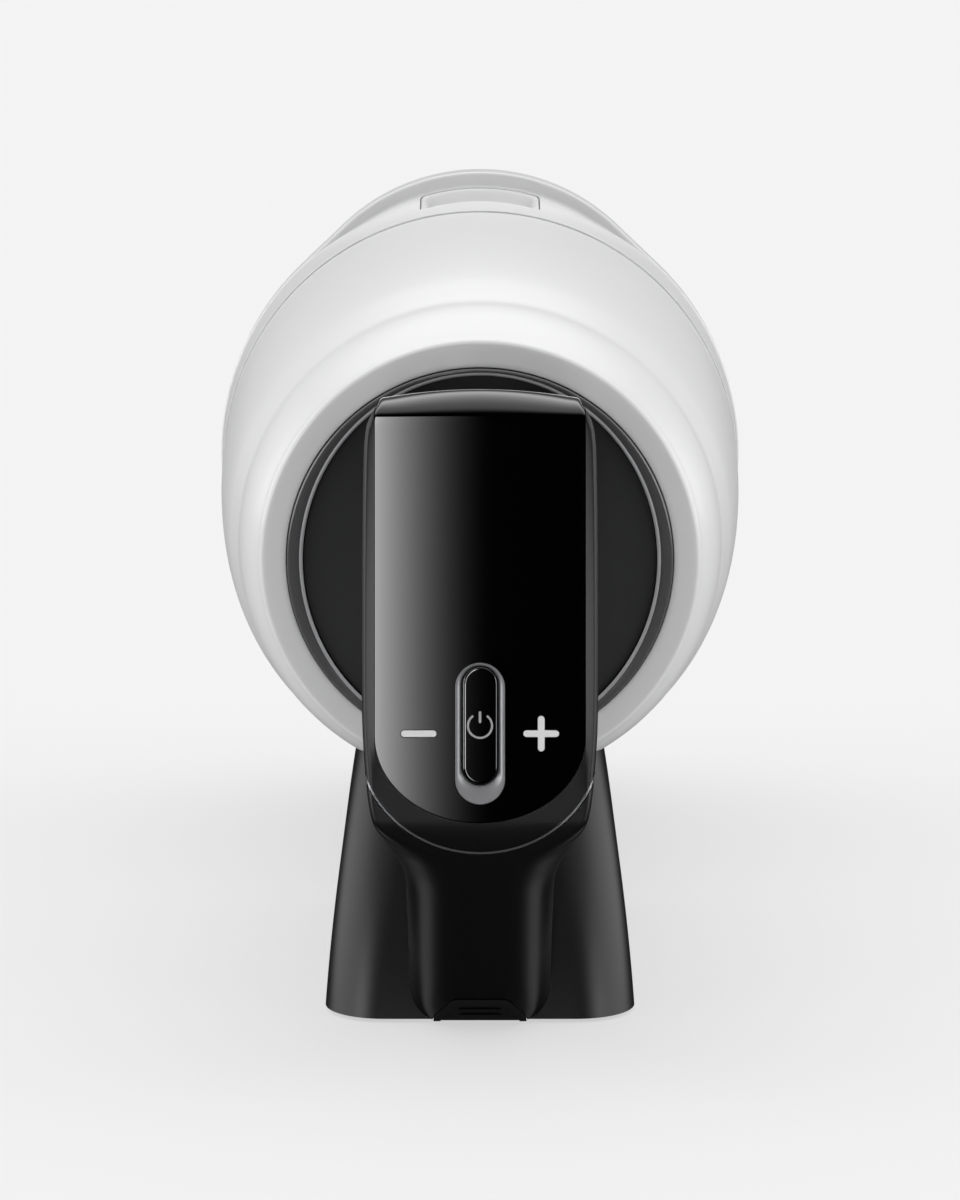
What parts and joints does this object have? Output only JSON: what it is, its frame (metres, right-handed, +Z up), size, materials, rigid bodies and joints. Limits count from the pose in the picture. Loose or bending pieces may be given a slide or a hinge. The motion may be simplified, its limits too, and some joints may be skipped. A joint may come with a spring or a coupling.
{
  "type": "cordless vacuum hand unit",
  "caption": "Hand unit of a cordless stick vacuum: round white motor housing, bridge handle with thumb controls, battery bay, dust bin and inlet tube.",
  "frame": {"origin": "centre of the battery's flat base, which the unit stands on", "axes": "+Z up, +Y along the unit from the handle towards the dust bin's lid, +X to the right seen from behind the handle"},
  "size_m": [0.1254, 0.3287, 0.1717],
  "materials": {
    "white_shell": "smooth moulded, soft gloss",
    "grey_collar": "smooth moulded, soft gloss",
    "gloss_ring": "polished",
    "satin_black": "fine satin texture",
    "gloss_black": "piano black",
    "soft_grip": "soft-touch overmould",
    "bright_trim": "polished thin trim",
    "silver": "satin",
    "grey_symbol": "printed",
    "white_symbol": "moulded through",
    "inner_plastic": "moulded",
    "filter_media": "pleated non-woven",
    "rubber": "matt",
    "steel": "machined",
    "perforated_steel": "perforated sheet",
    "machined_alloy": "machined",
    "copper": "enamelled windings",
    "brass": "plated contacts",
    "board": "solder mask",
    "cell_wrap": "shrink sleeve",
    "smoked_clear": "smoke-tinted clear plastic"
  },
  "bodies": {
    "main_body": {"battery_sleeve": "satin_black", "bezel_trim": "bright_trim", "control_bezel": "satin_black", "control_board": "board", "control_panel": "gloss_black", "diffuser": "inner_plastic", "exhaust_filter": "filter_media", "filter_frame": "inner_plastic", "front_collar": "grey_collar", "grip_shell": "soft_grip", "handle_screws": "steel", "handle_shell": "satin_black", "impeller_shroud": "inner_plastic", "inlet_collar": "grey_collar", "inlet_tube": "satin_black", "motor_bearings": "steel", "motor_board": "board", "motor_bucket": "inner_plastic", "motor_front_mount": "rubber", "motor_plate": "inner_plastic", "motor_rear_mount": "rubber", "port_seal": "rubber", "power_trim": "silver", "rear_bearing_bridge": "inner_plastic", "rear_cover": "satin_black", "rear_housing": "white_shell", "rear_trim_ring": "gloss_ring", "stator_coils": "copper", "stator_core": "steel", "terminal_block": "inner_plastic", "tube_saddle": "satin_black", "wand_contacts": "brass"},
    "rotor": {"rotor_shaft": "steel", "rotor_magnet": "steel", "impeller": "machined_alloy"},
    "power_key": {"power_button": "gloss_black", "power_symbol": "grey_symbol"},
    "minus_key_body": {"minus_key": "white_symbol"},
    "plus_key_body": {"plus_key": "white_symbol"},
    "bin_button": {"bin_release_button": "grey_collar"},
    "wand_button": {"wand_release_button": "grey_collar"},
    "bin": {"bin_cup": "smoked_clear", "bin_seal": "rubber", "cyclone_body": "inner_plastic", "cyclone_shroud": "perforated_steel", "cyclone_cones": "inner_plastic", "pre_filter": "filter_media", "bin_hinge_bracket": "satin_black", "lid_hinge_pin": "steel"},
    "lid": {"bin_lid": "satin_black", "lid_seal": "rubber"},
    "latch": {"lid_latch": "grey_collar"},
    "battery": {"battery_case": "satin_black", "battery_base": "satin_black", "charging_contacts": "brass", "battery_cells": "cell_wrap", "cell_holders": "inner_plastic", "battery_board": "board", "battery_terminals": "brass"},
    "battery_latch": {"battery_release_button": "satin_black"}
  },
  "joints": [
    {"name": "power_press", "type": "slide", "parent": "main_body", "child": "power_key", "axis": [0, 0.9833, -0.1819], "range_m": [0, 0.0008], "stiffness_N_per_m": 600, "springref_m": -0.0015},
    {"name": "minus_press", "type": "slide", "parent": "main_body", "child": "minus_key_body", "axis": [0, 0.9833, -0.1819], "range_m": [0, 0.0006], "stiffness_N_per_m": 600, "springref_m": -0.0015},
    {"name": "plus_press", "type": "slide", "parent": "main_body", "child": "plus_key_body", "axis": [0, 0.9833, -0.1819], "range_m": [0, 0.0006], "stiffness_N_per_m": 600, "springref_m": -0.0015},
    {"name": "bin_release_press", "type": "slide", "parent": "main_body", "child": "bin_button", "axis": [0, 0, -1], "range_m": [0, 0.0015], "stiffness_N_per_m": 600, "springref_m": -0.0015},
    {"name": "wand_release_press", "type": "slide", "parent": "main_body", "child": "wand_button", "axis": [0, 0, -1], "range_m": [0, 0.0008], "stiffness_N_per_m": 600, "springref_m": -0.0015},
    {"name": "bin_slide", "type": "slide", "parent": "main_body", "child": "bin", "axis": [0, 1, 0], "range_m": [0, 0.11]},
    {"name": "lid_open", "type": "hinge", "parent": "bin", "child": "lid", "pos_m": [0, 0.1984, 0.0466], "axis": [-1, 0, 0], "range_deg": [0, 90]},
    {"name": "lid_latch_press", "type": "slide", "parent": "lid", "child": "latch", "axis": [0, 0, -1], "range_m": [0, 0.0008], "stiffness_N_per_m": 600, "springref_m": -0.0015},
    {"name": "battery_slide", "type": "slide", "parent": "main_body", "child": "battery", "axis": [0, 0, -1], "range_m": [0, 0.045]},
    {"name": "battery_release_press", "type": "slide", "parent": "battery", "child": "battery_latch", "axis": [0, 1, 0], "range_m": [0, 0.0016], "stiffness_N_per_m": 600, "springref_m": -0.0015},
    {"name": "rotor_spin", "type": "hinge", "parent": "main_body", "child": "rotor", "pos_m": [0, 0.019, 0.099], "axis": [0, 1, 0], "continuous": true}
  ]
}
